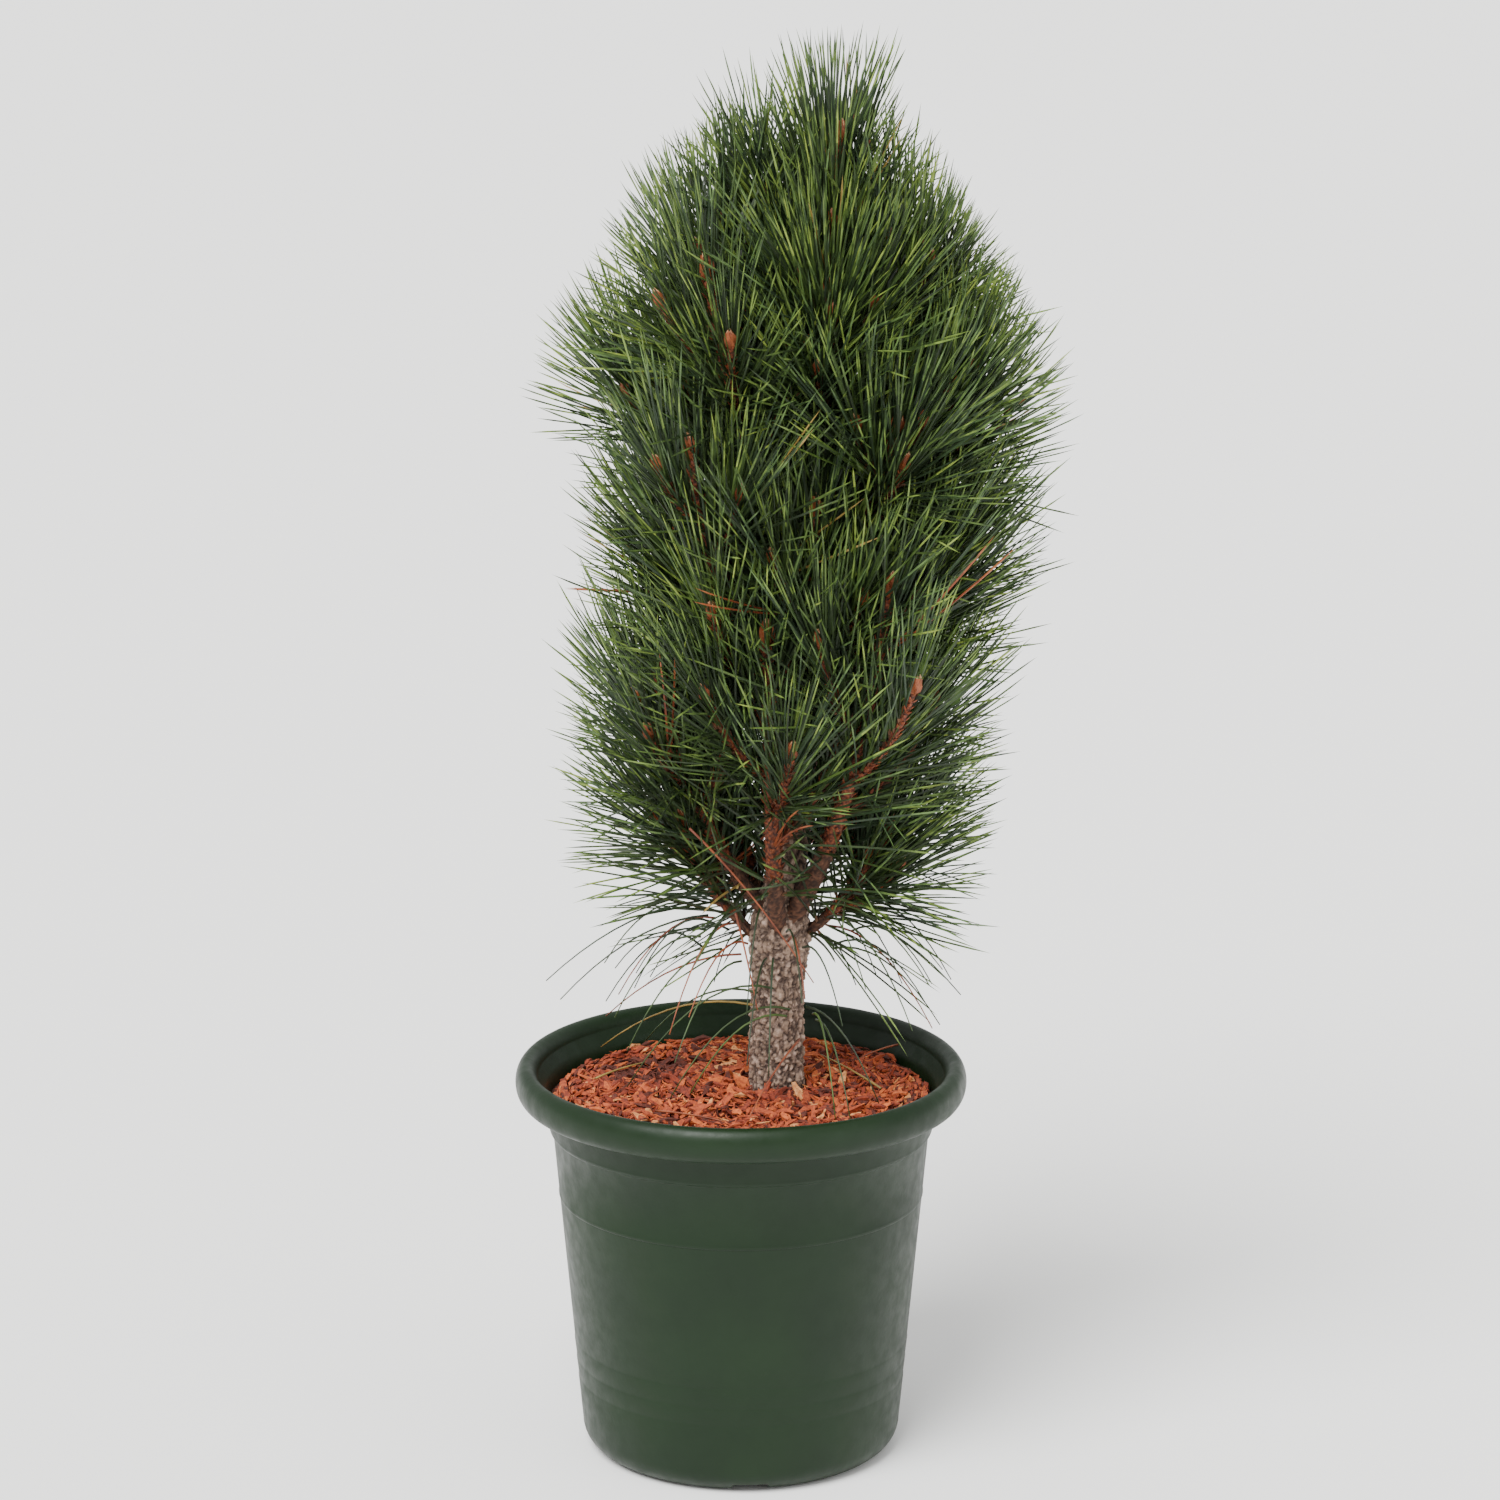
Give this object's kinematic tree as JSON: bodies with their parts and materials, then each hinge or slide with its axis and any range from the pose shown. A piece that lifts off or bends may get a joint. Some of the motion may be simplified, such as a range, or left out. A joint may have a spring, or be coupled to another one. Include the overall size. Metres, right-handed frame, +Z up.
{
  "type": "potted austrian pine",
  "caption": "Young columnar pine with long stiff needles in upswept masses round a leaning trunk, in a round plastic nursery pot topped up with bark mulch.",
  "frame": {"origin": "centre of the pot's flat underside, on the surface that it stands on", "axes": "+Z up along the pot's axis, the picture's view is from -Y, and the trunk leans towards +X"},
  "size_m": [0.3488, 0.3247, 0.8906],
  "materials": {
    "plastic": "dark green moulded plastic, satin",
    "compost": "damp dark peat compost",
    "mulch": "shredded orange brown bark, dry and rough",
    "bark": "flaking grey brown bark, matt",
    "needles": "dark green pine needles, faint sheen"
  },
  "bodies": {
    "root": {"pot": "plastic", "compost": "compost", "mulch": "mulch", "trunk": "bark", "bough_base_left": "bark", "bough_base_right": "bark", "bough_low_front": "bark", "bough_low_front_right": "bark", "bough_low_left": "bark", "bough_low_right": "bark", "bough_low_back_left": "bark", "bough_low_back_right": "bark", "bough_mid_front": "bark", "bough_mid_front_left": "bark", "bough_mid_right": "bark", "bough_mid_left": "bark", "bough_mid_back_left": "bark", "bough_mid_back_right": "bark", "bough_high_front_left": "bark", "bough_high_left": "bark", "bough_high_front_right": "bark", "bough_high_right": "bark", "bough_high_back_right": "bark", "bough_high_back_left": "bark", "bough_top_front": "bark", "bough_top_left": "bark", "bough_top_right": "bark", "bough_top_back": "bark", "needles_base_left": "needles", "needles_base_right": "needles", "needles_low_front": "needles", "needles_low_front_right": "needles", "needles_low_left": "needles", "needles_low_right": "needles", "needles_low_back_left": "needles", "needles_low_back_right": "needles", "needles_mid_front": "needles", "needles_mid_front_left": "needles", "needles_mid_right": "needles", "needles_mid_left": "needles", "needles_mid_back_left": "needles", "needles_mid_back_right": "needles", "needles_high_front_left": "needles", "needles_high_left": "needles", "needles_high_front_right": "needles", "needles_high_right": "needles", "needles_high_back_right": "needles", "needles_high_back_left": "needles", "needles_top_front": "needles", "needles_top_left": "needles", "needles_top_right": "needles", "needles_top_back": "needles", "needles_leader": "needles"}
  },
  "joints": []
}
